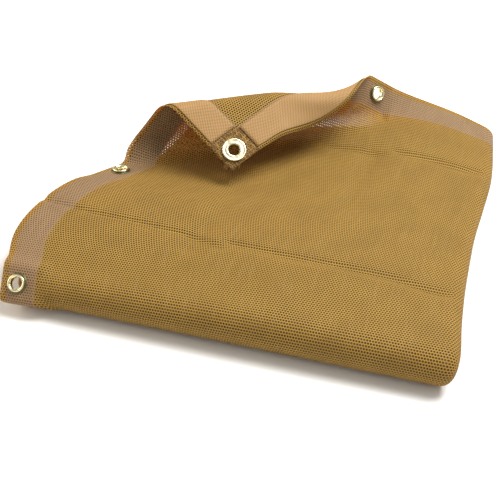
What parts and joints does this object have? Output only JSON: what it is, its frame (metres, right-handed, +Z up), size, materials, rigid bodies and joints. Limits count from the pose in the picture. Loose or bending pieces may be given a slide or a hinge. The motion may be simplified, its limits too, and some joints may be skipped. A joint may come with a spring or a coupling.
{
  "type": "mesh shade tarp",
  "caption": "Folded tan mesh shade tarp with pale hem tape and brass eyelets, one corner turned back over the top.",
  "frame": {"origin": "bottom centre of the whole folded tarp, on the surface it rests on", "axes": "+X along the front fold to the right, +Y towards the rear edge, +Z up"},
  "size_m": [0.4824, 0.4306, 0.1121],
  "materials": {
    "mesh_cloth": "matte",
    "hem_tape": "matte",
    "brass": "polished"
  },
  "bodies": {
    "root": {"tarp_cloth": "mesh_cloth", "hem_tape_left": "hem_tape", "hem_tape_rear": "hem_tape", "grommet_corner": "brass", "grommet_mid_left": "brass", "grommet_front_left": "brass", "grommet_rear": "brass", "washer_corner": "brass", "washer_mid_left": "brass", "washer_front_left": "brass", "washer_rear": "brass"}
  },
  "joints": []
}
